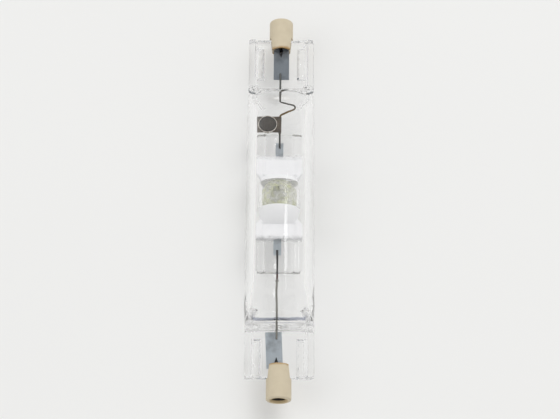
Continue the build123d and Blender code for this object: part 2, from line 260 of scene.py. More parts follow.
world = bpy.data.worlds.new("room")
scene.world = world
world.use_nodes = True
world.node_tree.nodes.clear()
room = Wire(world.node_tree)
direction = room.node("ShaderNodeTexCoord", output=0)
height = room.node("ShaderNodeSeparateXYZ", {}, {"Vector": direction}, output=2)
lengthwise = room.node("ShaderNodeSeparateXYZ", {}, {"Vector": direction}, output=1).size()
seen_room = room_horizon + height.rises(horizon_top, overhead_start) * (room_overhead - room_horizon)
seen = room.node("ShaderNodeLightPath", output=camera_ray)
for kind_of_ray in (glossy_ray, transmission_ray):
    seen = seen.maths("MAXIMUM", seen, room.node("ShaderNodeLightPath", output=kind_of_ray))
seen = seen * (1 - room.node("ShaderNodeLightPath", output=diffuse_depth).clamped())
level = seen * (seen_room - room_light) + room_light
at_ends = lengthwise.rises(*dark_end_sides) * (1 - height.rises(*dark_end_top)) * seen
sky = room.node("ShaderNodeBackground", {}, {
    "Color": at_ends.between(white, dark_end), "Strength": level})
sky_out = world.node_tree.nodes.new("ShaderNodeOutputWorld")
world.node_tree.links.new(sky.socket, sky_out.inputs["Surface"])


# The outer envelope: one tube of clear quartz glass, heated and pressed flat between two jaws at each end.
# Each press leaves a shoulder that ends in a sloped foot, and a flat web with a thicker rib along each side.
# The jaws have also left a pocket on each side of the foil, and a crease where a shoulder meets its web.
envelope_radius = 11.0 * mm
envelope_end = 59.0 * mm
shoulder_start = 33.0 * mm
shoulder_length = 7.2 * mm
shoulders_aside = -1.2 * mm
foot_start = 38.6 * mm
foot_length = 4.6 * mm
foot_rise = 4.6 * mm
root_half_width = 8.4 * mm
root_start = 37.0 * mm
root_length = 3.2 * mm
seal_half_width = 10.7 * mm
web_half_thickness = 1.65 * mm
rib_width = 2.4 * mm
rib_half_thickness = 2.6 * mm
cavity_radius = 8.0 * mm
cavity_near_end = -40.0 * mm
cavity_far_end = 39.9 * mm
cavity_nose = 11.5 * mm
nose_half_width = 9.2 * mm
nose_slot_half_height = 0.8 * mm
nose_slot_half_width = 8.7 * mm
end_rounding = 0.9 * mm
pocket_depth = 0.85 * mm
pocket_inner = 5.4 * mm
pocket_outer = 8.2 * mm
pocket_start = 45.6 * mm
pocket_stop = 57.7 * mm
pocket_wall = 0.35 * mm
pocket_end_wall = 0.4 * mm
rib_edge = (-0.1 * mm, 0.35 * mm)
dents_per_metre = 620.0
dent_share = 0.9
# The dark blue-grey line along the near crease is a painted dark reflection, put into the glass's colour.
crease_place = 39.9 * mm
painted_line_edge = (0.22 * mm, 0.48 * mm)
painted_line_waver = 0.8 * mm
painted_line_tip = (7.9 * mm, 8.7 * mm)
painted_reflection_colour = (0.4, 0.43, 0.53)
painted_reflection_strength = 0.9
chipped_edge = 0.5 * mm
chip_reach = 1.6 * mm
glass_clearness = 0.975
nothing = 0.00001


def tree_with_inputs(name, sizes):
    """An empty Geometry Nodes tree with a named input for each size, and a Wire for each of them."""
    tree = bpy.data.node_groups.new(name, "GeometryNodeTree")
    tree.interface.new_socket("Geometry", in_out="OUTPUT", socket_type="NodeSocketGeometry")
    for title, value in sizes.items():
        kind = {int: "NodeSocketInt", float: "NodeSocketFloat", tuple: "NodeSocketVector"}[type(value)]
        socket = tree.interface.new_socket(title, in_out="INPUT", socket_type=kind)
        socket.default_value = value
    tree.interface.new_socket("Material", in_out="INPUT", socket_type="NodeSocketMaterial")
    group = tree.nodes.new("NodeGroupInput")
    inputs = {output.name: Wire(tree, output) for output in group.outputs if output.name}
    return tree, inputs


def end_tree(tree, inputs, geometry):
    """Makes the instances real, gives the material and ends the tree."""
    start = Wire(tree)
    real = start.node("GeometryNodeRealizeInstances", {}, {"Geometry": geometry})
    painted = start.node("GeometryNodeSetMaterial", {}, {"Geometry": real, "Material": inputs["Material"]})
    out = tree.nodes.new("NodeGroupOutput")
    tree.links.new(painted.socket, out.inputs["Geometry"])
    return tree


def pressed_tube_tree():
    """A quartz tube pressed flat at its ends. Each section across it joins an ellipse and a ribbed slab."""
    tree, size = tree_with_inputs("pressed_quartz_tube", {
        "Stations": 300, "Points": 144, "Closed": 1.0, "Near End": -0.059, "Far End": 0.059, "Middle": 0.0,
        "Radius": 0.011, "Pressed Width": 0.0107, "Press Start": 0.036, "Press Length": 0.0074,
        "Seal Width": 0.0107, "Root Width": 0.0107, "Root Start": 0.0, "Root Length": 0.001,
        "Web": 0.0022, "Corner": 0.0003, "Rib Width": 0.0024, "Rib Rise": 0.36, "Pocket Depth": 0.0,
        "Pocket Inner": 0.0054, "Pocket Outer": 0.0082, "Pocket Start": 0.0456, "Pocket Stop": 0.0577,
        "Foot Start": 0.0, "Foot Length": 0.001, "Foot Rise": 0.0, "Ripple": 0.0, "Ripple Start": 0.035,
        "Chipped Edge": 0.0, "Fillet": 0.02, "Profile": 0.5, "Grow": 0.0, "Aside": 0.0})
    start = Wire(tree)
    grid = start.node("GeometryNodeMeshGrid", {}, {
        "Size X": 1.0, "Size Y": 1.0, "Vertices X": size["Stations"], "Vertices Y": size["Points"]})
    # The grid's x is the place along the tube and its y the angle round it.
    spot = start.node("GeometryNodeInputPosition")
    along = start.node("ShaderNodeSeparateXYZ", {}, {"Vector": spot}, output=0) + 0.5
    angle = (start.node("ShaderNodeSeparateXYZ", {}, {"Vector": spot}, output=1) + 0.5) * (2 * pi)
    # The first and the last ring of a closed tube shrink to a point.
    last = size["Stations"] - 1
    station = along * last
    from_end = start.maths("MINIMUM", station, last - station)
    open_share = 1 - size["Closed"] * (1 - from_end.clamped())
    travel = ((station - size["Closed"]) / (last - 2 * size["Closed"])).clamped()
    y = size["Near End"] + (size["Far End"] - size["Near End"]) * travel
    away = (y - size["Middle"]).size()
    # The round part is an ellipse that is pressed down toward each end.
    pressed = ((away - size["Press Start"]) / size["Press Length"]).clamped()
    square = pressed * pressed
    round_height = start.maths("MAXIMUM", size["Radius"] * (1 - square) ** size["Profile"], nothing)
    round_height = round_height + size["Grow"]
    round_width = size["Radius"] + (size["Pressed Width"] - size["Radius"]) * square + size["Grow"]
    # The flat part is a slab with rounded ends, and with a foot where it comes out of the shoulder.
    edge = start.maths("MINIMUM", y - size["Near End"], size["Far End"] - y)
    short = size["Corner"] - start.maths("MINIMUM", edge, size["Corner"])
    inset = size["Corner"] - (size["Corner"] * size["Corner"] - short * short + 1e-12) ** 0.5
    root = ((away - size["Root Start"]) / size["Root Length"]).clamped()
    slab_width = size["Root Width"] + (size["Seal Width"] - size["Root Width"]) * root + size["Grow"] - inset
    up_the_foot = 1 - ((away - size["Foot Start"]) / size["Foot Length"]).clamped()
    slab_height = size["Web"] + size["Foot Rise"] * up_the_foot ** 2.0 + size["Grow"] - inset
    # How far both parts reach at this angle, and the larger of the two, with a fillet between them.
    across = start.maths("COSINE", angle) * start.maths("MAXIMUM", round_width, slab_width)
    up = start.maths("SINE", angle) * start.maths("MAXIMUM", round_height, slab_height)
    to_round = 1 / ((across / round_width) ** 2 + (up / round_height) ** 2 + 1e-9) ** 0.5
    squareness = 10.0
    slab_edge_sharpness = 12.0
    slab_sum = (across.size() / slab_width) ** squareness + (up.size() / slab_height) ** squareness
    to_slab = 1 / (slab_sum + 1e-9) ** (1 / squareness)
    reach = start.maths("SMOOTH_MAX", to_round, to_slab, size["Fillet"])
    on_slab = ((to_slab - to_round) * slab_edge_sharpness).clamped()
    x = across * reach
    z = up * reach
    # The ribs stand out of the slab and also of its foot, and the pockets are sunk in the slab.
    rib_start = slab_width - size["Rib Width"]
    rib = x.size().rises(rib_start + rib_edge[0], rib_start + rib_edge[1])
    beside = x.size().rises(size["Pocket Inner"], size["Pocket Inner"] + pocket_wall)
    beside = beside * (1 - x.size().rises(size["Pocket Outer"] - pocket_wall, size["Pocket Outer"]))
    along_pocket = away.rises(size["Pocket Start"], size["Pocket Start"] + pocket_end_wall)
    along_pocket = along_pocket * (1 - away.rises(size["Pocket Stop"] - pocket_end_wall, size["Pocket Stop"]))
    dents = start.node("ShaderNodeTexNoise", {"normalize": True}, {
        "Vector": start.node("ShaderNodeCombineXYZ", {}, {0: x, 1: y, 2: 0.0}), "Scale": dents_per_metre,
        "Detail": 1.0}) - 0.5
    pocket = beside * along_pocket * (1 + dents * dent_share) * size["Pocket Depth"] / size["Web"]
    z = z * (1 + on_slab * (size["Rib Rise"] * rib - pocket))
    # Hot glass stays a little uneven where it was pressed, and its cut ends are chipped.
    wave = start.node("ShaderNodeTexNoise", {"normalize": True}, {
        "Vector": start.node("ShaderNodeCombineXYZ", {}, {0: x, 1: y, 2: z}), "Scale": 260.0,
        "Detail": 2.0}) - 0.5
    wave = 1 + wave * size["Ripple"] * away.rises(size["Ripple Start"], size["Ripple Start"] + 0.004)
    chips = start.node("ShaderNodeTexNoise", {"normalize": True}, {
        "Vector": start.node("ShaderNodeCombineXYZ", {}, {0: x, 1: y * 0.1, 2: z}), "Scale": 420.0,
        "Detail": 3.0}) - 0.5
    chips = chips * open_share * size["Chipped Edge"] * (1 - edge.rises(0.0, chip_reach))
    chips = chips * start.maths("SIGN", y)
    shaped = start.node("GeometryNodeSetPosition", {}, {
        "Geometry": grid, "Position": start.node("ShaderNodeCombineXYZ", {}, {
            0: x * wave * open_share + size["Aside"], 1: y + chips, 2: z * wave * open_share})})
    merged = start.node("GeometryNodeMergeByDistance", {}, {"Geometry": shaped, "Distance": 0.0000001})
    return end_tree(tree, size, merged)


def grown(name, tree, sizes, finish):
    """A plain mesh made by a Geometry Nodes tree from its named sizes."""
    piece = bpy.data.objects.new(name, bpy.data.meshes.new(name))
    scene.collection.objects.link(piece)
    modifier = piece.modifiers.new("shape", "NODES")
    modifier.node_group = tree
    for item in tree.interface.items_tree:
        if item.item_type == "SOCKET" and item.in_out == "INPUT":
            if item.name == "Material":
                modifier[item.identifier] = finish
            elif item.name in sizes:
                modifier[item.identifier] = sizes[item.name]
    bpy.context.view_layer.update()
    evaluated = piece.evaluated_get(bpy.context.evaluated_depsgraph_get())
    made = bpy.data.meshes.new_from_object(evaluated)
    piece.modifiers.clear()
    piece.data = made
    return piece


def facing(mesh, outwards):
    """Turns a closed mesh so that its faces point outwards, or all inwards."""
    shape = bmesh.new()
    shape.from_mesh(mesh)
    bmesh.ops.recalc_face_normals(shape, faces=shape.faces)
    if (shape.calc_volume(signed=True) > 0) != outwards:
        bmesh.ops.reverse_faces(shape, faces=shape.faces)
    shape.to_mesh(mesh)
    shape.free()


def smooth(mesh, angle=35.0):
    """Smooth shading, with the corners sharper than an angle kept crisp."""
    mesh.shade_smooth()
    mesh.set_sharp_from_angle(angle=radians(angle))


def placed(piece, slot_name, *nodes):
    """Fixes a finished piece to the lamp, in the place of its frame nodes."""
    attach(piece, "root")
    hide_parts(*nodes)


def blown(name, outside, hollow):
    """One glass body from its outside and the hollow in it."""
    facing(outside.data, True)
    facing(hollow.data, False)
    shape = bmesh.new()
    shape.from_mesh(outside.data)
    shape.from_mesh(hollow.data)
    shape.to_mesh(outside.data)
    shape.free()
    bpy.data.objects.remove(hollow)
    smooth(outside.data)
    outside.name = name
    return outside


def quartz(name, ripple_scale, ripple_strength, crease=0.0):
    """Clear quartz with faint draw lines along it, and a blue-grey painted dark reflection in the near
    crease.

    Light on its way to or from the table goes straight through, as the shadow of clear glass is almost as
    bright as the table.
    """
    made, start, place = material(name)
    away = shoulders_aside - start.node("ShaderNodeSeparateXYZ", {}, {"Vector": place}, output=1)
    aside = start.node("ShaderNodeSeparateXYZ", {}, {"Vector": place}, output=0).size()
    # Painted dark reflection: the glass's colour turns blue-grey along a wavering line in the near crease.
    from_line = (away - (crease + (noise(start, place, 300.0) - 0.5) * painted_line_waver)).size()
    line = (1 - from_line.rises(*painted_line_edge)) * (1 - aside.rises(*painted_line_tip)) * painted_reflection_strength
    shade = (line * float(crease > 0)).between(white, linear(painted_reflection_colour))
    lines = noise(start, place, ripple_scale, (1.0, 0.12, 1.0), 2.0)
    bump = start.node("ShaderNodeBump", {}, {
        "Strength": ripple_strength, "Distance": 0.2 * mm, "Height": lines})
    glass = start.node("ShaderNodeBsdfPrincipled", {}, {
        "Base Color": shade, "Roughness": 0.0, "IOR": 1.46, "Transmission Weight": 1.0, "Normal": bump})
    clear = start.node("ShaderNodeBsdfTransparent", {}, {"Color": (glass_clearness,) * 3 + (1.0,)})
    to_lamp = start.node("ShaderNodeLightPath", output=shadow_ray)
    from_table = start.node("ShaderNodeLightPath", output=diffuse_ray)
    straight = start.maths("MAXIMUM", to_lamp, from_table)
    return finish_material(made, start.node("ShaderNodeMixShader", {}, {0: straight, 1: glass, 2: clear}))


pressed_tube = pressed_tube_tree()
envelope_quartz = quartz("envelope_quartz", 420.0, 0.25, crease_place)
outside = grown("envelope_outside", pressed_tube, {
    "Near End": -envelope_end, "Far End": envelope_end, "Radius": envelope_radius,
    "Pressed Width": seal_half_width, "Press Start": shoulder_start, "Press Length": shoulder_length,
    "Seal Width": seal_half_width, "Root Width": root_half_width, "Root Start": root_start,
    "Root Length": root_length, "Web": web_half_thickness, "Rib Width": rib_width,
    "Rib Rise": rib_half_thickness / web_half_thickness - 1, "Pocket Depth": pocket_depth,
    "Pocket Inner": pocket_inner, "Pocket Outer": pocket_outer, "Pocket Start": pocket_start,
    "Pocket Stop": pocket_stop, "Foot Start": foot_start, "Foot Length": foot_length,
    "Foot Rise": foot_rise, "Middle": shoulders_aside,
    "Corner": end_rounding, "Fillet": 0.06, "Ripple": 0.006, "Chipped Edge": chipped_edge,
    "Stations": 400, "Points": 160}, envelope_quartz)
nose_start = (cavity_far_end - cavity_near_end) / 2 - cavity_nose
hollow = grown("envelope_hollow", pressed_tube, {
    "Near End": cavity_near_end, "Far End": cavity_far_end, "Middle": (cavity_near_end + cavity_far_end) / 2,
    "Radius": cavity_radius, "Pressed Width": nose_half_width, "Press Start": nose_start,
    "Press Length": cavity_nose, "Seal Width": nose_slot_half_width, "Root Width": cavity_radius * 0.9,
    "Root Start": nose_start, "Root Length": cavity_nose * 0.6, "Web": nose_slot_half_height,
    "Rib Rise": 0.0, "Corner": 0.25 * mm, "Ripple": 0.006, "Stations": 260, "Points": 128}, envelope_quartz)
envelope = blown("quartz_envelope", outside, hollow)
placed(envelope, "quartz", "outer_bulb")


# The foils: ribbons of molybdenum, rolled thin with sharp edges, that carry the current through the pressed
# glass. The near one sits a little aside and askew in its seal. The far seal's foil is painted darker than
# the near one, as painted shade. Each is given by its start, its end and its width in millimetres.
foil_thickness = 0.06 * mm
foils = {
    "seal_foil_far": ((0.1, 44.2, 0.0), (0.1, 56.0, 0.0), 5.1),
    "seal_foil_near": ((-1.75, -44.2, 0.0), (-1.25, -56.0, 0.0), 5.1),
    "arc_foil_far": ((-0.3, 10.37, 0.0), (-0.3, 20.4, 0.0), 2.4),
    "arc_foil_near": ((-0.75, -18.94, 0.0), (-0.75, -10.54, 0.0), 2.4),
}
# Painted shade: the far seal's foil is drawn darker than the near one.
far_foil_painted_shade = ((30.0, 40.0, (0.58, 0.61, 0.64)),)


def foil_tree():
    """A flat ribbon between two points, with knife edges and faint ripples along it."""
    tree, size = tree_with_inputs("rolled_foil", {
        "Start": (0.0, 0.0, 0.0), "End": (0.0, 0.01, 0.0), "Width": 0.005, "Thickness": 0.00006,
        "Ripple": 0.00008, "Steps": 48})
    start = Wire(tree)
    line = start.node("GeometryNodeCurvePrimitiveLine", {}, {"Start": size["Start"], "End": size["End"]})
    steps = start.node("GeometryNodeResampleCurve", {}, {"Curve": line, "Count": size["Steps"]})
    spot = start.node("GeometryNodeInputPosition")
    wave = start.node("ShaderNodeTexNoise", {"normalize": True}, {"Vector": spot, "Scale": 700.0}) - 0.5
    rippled = start.node("GeometryNodeSetPosition", {}, {
        "Geometry": steps, "Offset": start.node("ShaderNodeCombineXYZ", {}, {2: wave * size["Ripple"]})})
    edge = start.node("GeometryNodeCurvePrimitiveCircle", {}, {"Resolution": 12, "Radius": 1.0})
    flat = start.node("GeometryNodeTransform", {}, {
        "Geometry": edge, "Scale": start.node("ShaderNodeCombineXYZ", {}, {
            0: size["Width"] * 0.5, 1: size["Thickness"] * 0.5, 2: 1.0})})
    ribbon = start.node("GeometryNodeCurveToMesh", {}, {
        "Curve": rippled, "Profile Curve": flat, "Fill Caps": True})
    return end_tree(tree, size, ribbon)


def metal(name, dark, light, roughness, grain_scale, stretch=(1.0, 1.0, 1.0), tints=(), smudge=0.0):
    """Bare metal with a grain and smudges. Each tint, a heat tint or painted shade, says from where to where
    it comes in along the lamp.
    """
    made, start, place = material(name)
    grain = noise(start, place, grain_scale, stretch)
    shade = grain.between(linear(dark), linear(light))
    along = start.node("ShaderNodeSeparateXYZ", {}, {"Vector": place}, output=1)
    for begins, ends, tint in tints:
        shade = along.rises(begins * mm, ends * mm).between(shade, linear(tint))
    cloud = noise(start, place, grain_scale * 0.4, detail=4.0)
    shade = (cloud.rises(0.45, 0.7) * smudge).between(shade, linear([c * 0.45 for c in dark]))
    bump = start.node("ShaderNodeBump", {}, {"Strength": 0.3, "Distance": 0.05 * mm, "Height": grain})
    return finish_material(made, start.node("ShaderNodeBsdfPrincipled", {}, {
        "Base Color": shade, "Metallic": 1.0, "Roughness": grain * 0.2 + roughness, "Normal": bump}))


rolled_foil = foil_tree()
molybdenum = metal("rolled_molybdenum", (0.72, 0.76, 0.79), (0.86, 0.89, 0.91), 0.4, 600.0, (1.0, 0.12, 1.0),
                   far_foil_painted_shade, smudge=0.4)
for node_name, (foil_start, foil_end, foil_width) in foils.items():
    foil = grown(node_name + "_ribbon", rolled_foil, {
        "Start": Vector(foil_start) * mm, "End": Vector(foil_end) * mm, "Width": foil_width * mm,
        "Thickness": foil_thickness}, molybdenum)
    facing(foil.data, True)
    smooth(foil.data, 60.0)
    placed(foil, "foil", node_name)


# The wires: drawn rods welded on the foils, and tinted by heat. The thick outer leads end in a ground point
# on their foil, and the thin far lead is bent in an S so that it can stretch. The near one has a weld bead on
# its end. The corners, and the places where a tint comes in, are in millimetres.
thick_wire = 0.55 * mm
thin_wire = 0.325 * mm
point_length = 1.7 * mm
blunt_tip = 0.04 * mm
bead_radius = 0.55 * mm
thick_bend = 0.75 * mm
thin_bend = 1.2 * mm
thin_waver = 0.06 * mm
wire_tints = (
    (-27.8, -26.8, (0.28, 0.1, 0.1)),
    (-25.4, -24.8, (0.04, 0.04, 0.04)),
    (22.0, 26.5, (0.45, 0.36, 0.2)),
    (32.2, 34.5, (0.3, 0.29, 0.26)),
    (39.0, 41.0, (0.42, 0.43, 0.42)),
)


def wire_tree():
    """A round wire through some of five corners, each bent to a radius, with a pointed start and a bead."""
    tree, size = tree_with_inputs("bent_wire", {
        "Corners": 2, "Corner 1": (0.0, 0.0, 0.0), "Corner 2": (0.0, 0.0, 0.0), "Corner 3": (0.0, 0.0, 0.0),
        "Corner 4": (0.0, 0.0, 0.0), "Corner 5": (0.0, 0.0, 0.0), "Bend Radius": 0.0012, "Radius": 0.0003,
        "Point Length": 0.0, "Bead Radius": 0.0, "Waver": 0.0, "Sides": 14, "Step": 0.0002})
    start = Wire(tree)
    index = start.node("GeometryNodeInputIndex")
    corner = start.node("GeometryNodeIndexSwitch", {"data_type": "VECTOR", "items": 5}, {
        "Index": index, "0": size["Corner 1"], "1": size["Corner 2"], "2": size["Corner 3"],
        "3": size["Corner 4"], "4": size["Corner 5"]})
    points = start.node("GeometryNodePoints", {}, {"Count": size["Corners"], "Position": corner})
    line = start.node("GeometryNodePointsToCurves", {}, {"Points": points})
    bent = start.node("GeometryNodeFilletCurve", {"mode": "POLY"}, {
        "Curve": line, "Count": 12, "Radius": size["Bend Radius"], "Limit Radius": True})
    steps = start.node("GeometryNodeResampleCurve", {"mode": "LENGTH"}, {
        "Curve": bent, "Length": size["Step"]})
    spot = start.node("GeometryNodeInputPosition")
    wave = start.node("ShaderNodeTexNoise", {"normalize": True}, {"Vector": spot, "Scale": 220.0}) - 0.5
    run = start.node("GeometryNodeSplineParameter", output=1)
    left = start.node("GeometryNodeSplineParameter", output=0)
    total = start.node("GeometryNodeSplineLength", output=0)
    to_end = total * (1 - left)
    steps = start.node("GeometryNodeSetPosition", {}, {
        "Geometry": steps, "Offset": start.node("ShaderNodeCombineXYZ", {}, {0: wave * size["Waver"]})})
    pointed = ((run + blunt_tip) / (size["Point Length"] + blunt_tip)).clamped()
    from_bead = to_end - size["Bead Radius"]
    bead = start.maths("MAXIMUM", size["Bead Radius"] ** 2 - from_bead ** 2, 0.0) ** 0.5
    width = start.maths("MAXIMUM", size["Radius"] * pointed, bead)
    profile = start.node("GeometryNodeCurvePrimitiveCircle", {}, {"Resolution": size["Sides"], "Radius": 1.0})
    wire = start.node("GeometryNodeCurveToMesh", {}, {
        "Curve": steps, "Profile Curve": profile, "Scale": width, "Fill Caps": True})
    return end_tree(tree, size, wire)


bent_wire = wire_tree()
thick_high = 0.53
thin_high = 0.305
far_aside = -0.2
near_aside = -0.75
wires = {
    "outer_lead_far": (thick_wire, "outer_lead", (
        (0.0, 52.4, thick_high), (0.0, 59.4, thick_high), (0.0, 60.25, 0.0), (0.0, 63.4, 0.0))),
    "outer_lead_near": (thick_wire, "outer_lead", (
        (-0.8, -52.4, thick_high), (-0.8, -59.4, thick_high), (0.0, -60.25, 0.0), (0.0, -63.4, 0.0))),
    "inner_lead_far": (thin_wire, "lead_wire", (
        (far_aside, 46.5, thin_high), (far_aside, 36.9, thin_high), (6.3, 34.1, thin_high),
        (far_aside, 30.6, thin_high), (far_aside, 27.05, thin_high))),
    "inner_lead_near": (thin_wire, "lead_wire", (
        (near_aside, -46.5, thin_high), (near_aside, -27.4, thin_high))),
    "arc_lead_far": (thin_wire, "lead_wire", ((far_aside, 18.4, thin_high), (far_aside, 27.04, thin_high))),
    "arc_lead_near": (thin_wire, "lead_wire", (
        (near_aside, -17.26, thin_high), (near_aside, -27.4, thin_high))),
}
dark_oxide = metal("oxidised_lead", (0.05, 0.05, 0.055), (0.16, 0.16, 0.17), 0.4, 900.0, (1.0, 0.2, 1.0))
drawn_wire = metal("drawn_wire", (0.42, 0.42, 0.4), (0.66, 0.65, 0.62), 0.3, 700.0, (1.0, 0.2, 1.0),
                   wire_tints)
for node_name, (wire_radius, wire_slot, wire_corners) in wires.items():
    thick = wire_radius == thick_wire
    corners_given = {f"Corner {i + 1}": Vector(c) * mm for i, c in enumerate(wire_corners)}
    wire = grown(node_name + "_wire", bent_wire, corners_given | {
        "Corners": len(wire_corners), "Radius": wire_radius,
        "Bend Radius": thick_bend if thick else thin_bend, "Point Length": point_length if thick else 0.0,
        "Bead Radius": bead_radius if node_name == "inner_lead_near" else 0.0,
        "Waver": 0.0 if thick else thin_waver}, dark_oxide if thick else drawn_wire)
    facing(wire.data, True)
    smooth(wire.data, 60.0)
    placed(wire, wire_slot, node_name)


# The arc tube: a smaller quartz barrel, blown, then pressed flat at both ends onto its foils, with a rib
# along each side of the seals. The chamber inside is an egg-shaped hollow that holds the arc.
arc_tube_aside = -0.3 * mm
barrel_middle = 0.05 * mm
barrel_radius = 6.75 * mm
barrel_half_length = 8.745 * mm
neck_half_width = 5.3 * mm
arc_far_end = 23.5 * mm
arc_near_end = -24.8 * mm
arc_seal_half_width = 7.3 * mm
chamber_radius = 5.6 * mm
chamber_half_length = 7.245 * mm
arc_tube_sizes = {
    "Near End": arc_near_end, "Far End": arc_far_end, "Middle": barrel_middle, "Radius": barrel_radius,
    "Pressed Width": neck_half_width, "Press Start": 0.0, "Press Length": barrel_half_length,
    "Seal Width": arc_seal_half_width, "Root Width": neck_half_width, "Root Start": 6.345 * mm,
    "Root Length": 2.6 * mm, "Web": 1.4 * mm, "Corner": 1.1 * mm, "Rib Width": 2.6 * mm,
    "Rib Rise": 0.286, "Ripple": 0.01, "Ripple Start": 9.0 * mm, "Stations": 240, "Points": 128,
    "Aside": arc_tube_aside}
arc_quartz = quartz("arc_quartz", 500.0, 0.2)
arc_outside = grown("arc_tube_outside", pressed_tube, arc_tube_sizes, arc_quartz)
arc_hollow = grown("arc_tube_hollow", pressed_tube, {
    "Near End": barrel_middle - chamber_half_length, "Far End": barrel_middle + chamber_half_length,
    "Middle": barrel_middle, "Radius": chamber_radius, "Pressed Width": chamber_radius, "Press Start": 0.0,
    "Press Length": chamber_half_length, "Seal Width": nothing, "Root Width": nothing, "Web": nothing,
    "Rib Rise": 0.0, "Corner": 0.0, "Stations": 96, "Points": 96, "Aside": arc_tube_aside}, arc_quartz)
arc_tube = blown("quartz_arc_tube", arc_outside, arc_hollow)
placed(arc_tube, "arc_quartz", "arc_tube")


# The end coats: white zirconia paint over both shoulders of the arc tube, which keeps its ends hot.
# It was brushed on, so it is matt and a little uneven, and some light comes through it.
coat_gap = 0.02 * mm
coat_thickness = 0.1 * mm
light_depth = 0.15 * mm
near_brush_edge = (-14.2 * mm, -12.2 * mm)
far_brush_edge = (13.6 * mm, 15.6 * mm)
brush_waver = 1.2 * mm


def white_coat():
    """Matt white paint that some light comes through, thinned out toward its brushed edges."""
    made, start, place = material("white_heat_coat")
    cloud = noise(start, place, 900.0)
    shade = cloud.between(linear((0.925, 0.925, 0.93)), linear((0.95, 0.95, 0.955)))
    along = start.node("ShaderNodeSeparateXYZ", {}, {"Vector": place}, output=1) + (cloud - 0.5) * brush_waver
    dense = along.rises(*near_brush_edge) * (1 - along.rises(*far_brush_edge))
    bump = start.node("ShaderNodeBump", {}, {"Strength": 0.4, "Distance": 0.1 * mm, "Height": cloud})
    return finish_material(made, start.node("ShaderNodeBsdfPrincipled", {}, {
        "Base Color": shade, "Alpha": dense, "Roughness": 0.85, "Specular IOR Level": 0.2,
        "Subsurface Weight": 0.5, "Subsurface Radius": (1.0, 1.0, 1.0), "Subsurface Scale": light_depth,
        "Normal": bump}))


heat_coat = white_coat()
for node_name in ("end_coat_far", "end_coat_near"):
    (_, coat_start, _), (_, coat_stop, _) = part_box(node_name)
    coat = grown(node_name + "_paint", pressed_tube, arc_tube_sizes | {
        "Near End": coat_start, "Far End": coat_stop, "Closed": 0.0, "Corner": 0.0, "Stations": 64,
        "Points": 128, "Grow": coat_gap + coat_thickness}, heat_coat)
    facing(coat.data, True)
    wall = coat.modifiers.new("wall", "SOLIDIFY")
    wall.thickness = coat_thickness
    wall.offset = -1.0
    smooth(coat.data, 60.0)
    placed(coat, "heat_coat", node_name)


# The electrodes: tungsten rods that stand in the chamber's two ends, each with a few turns of wire wound on
# its tip. They are drawn wire, grey and dull from the heat of the arc.
rod_radius = 0.25 * mm
rod_height = 0.225 * mm
coil_wire = 0.15 * mm
coil_radius = 0.42 * mm
coil_turns = 4.0
coil_length = 1.36 * mm


def coil_tree():
    """A wire wound round a rod that lies along the lamp."""
    tree, size = tree_with_inputs("wound_coil", {
        "Turns": 4.0, "Radius": 0.0004, "Length": 0.0014, "Wire Radius": 0.00015, "Place": (0.0, 0.0, 0.0)})
    start = Wire(tree)
    spiral = start.node("GeometryNodeCurveSpiral", {}, {
        "Resolution": 24, "Rotations": size["Turns"], "Start Radius": size["Radius"],
        "End Radius": size["Radius"], "Height": size["Length"]})
    profile = start.node("GeometryNodeCurvePrimitiveCircle", {}, {
        "Resolution": 8, "Radius": size["Wire Radius"]})
    coil = start.node("GeometryNodeCurveToMesh", {}, {
        "Curve": spiral, "Profile Curve": profile, "Fill Caps": True})
    laid = start.node("GeometryNodeTransform", {}, {
        "Geometry": coil, "Rotation": (-pi / 2, 0.0, 0.0), "Translation": size["Place"]})
    return end_tree(tree, size, laid)


wound_coil = coil_tree()
tungsten = metal("tungsten", (0.2, 0.2, 0.21), (0.4, 0.4, 0.42), 0.35, 900.0, (1.0, 0.2, 1.0))
for end_name in ("far", "near"):
    (_, rod_start, _), (_, rod_stop, _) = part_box("electrode_rod_" + end_name)
    rod = grown("electrode_rod_" + end_name + "_finished", bent_wire, {
        "Corners": 2, "Corner 1": Vector((arc_tube_aside, rod_start, rod_height)),
        "Corner 2": Vector((arc_tube_aside, rod_stop, rod_height)), "Radius": rod_radius}, tungsten)
    (_, coil_start, _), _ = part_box("electrode_coil_" + end_name)
    coil = grown("electrode_coil_" + end_name + "_finished", wound_coil, {
        "Turns": coil_turns, "Radius": coil_radius, "Length": coil_length, "Wire Radius": coil_wire,
        "Place": Vector((arc_tube_aside, coil_start + coil_wire, rod_height))}, tungsten)
    for piece, node_name in ((rod, "electrode_rod_" + end_name), (coil, "electrode_coil_" + end_name)):
        facing(piece.data, True)
        smooth(piece.data, 60.0)
        placed(piece, "tungsten", node_name)


# The salts: a dose of metal halides, dropped in before the arc tube was closed. They have melted and settled
# as a thin yellow-green crust on the chamber's wall, which dulls it.
salt_gap = 0.02 * mm
salt_thickness = 0.04 * mm
salt_top = 5.3 * mm
salt_edge_waver = 2.0 * mm


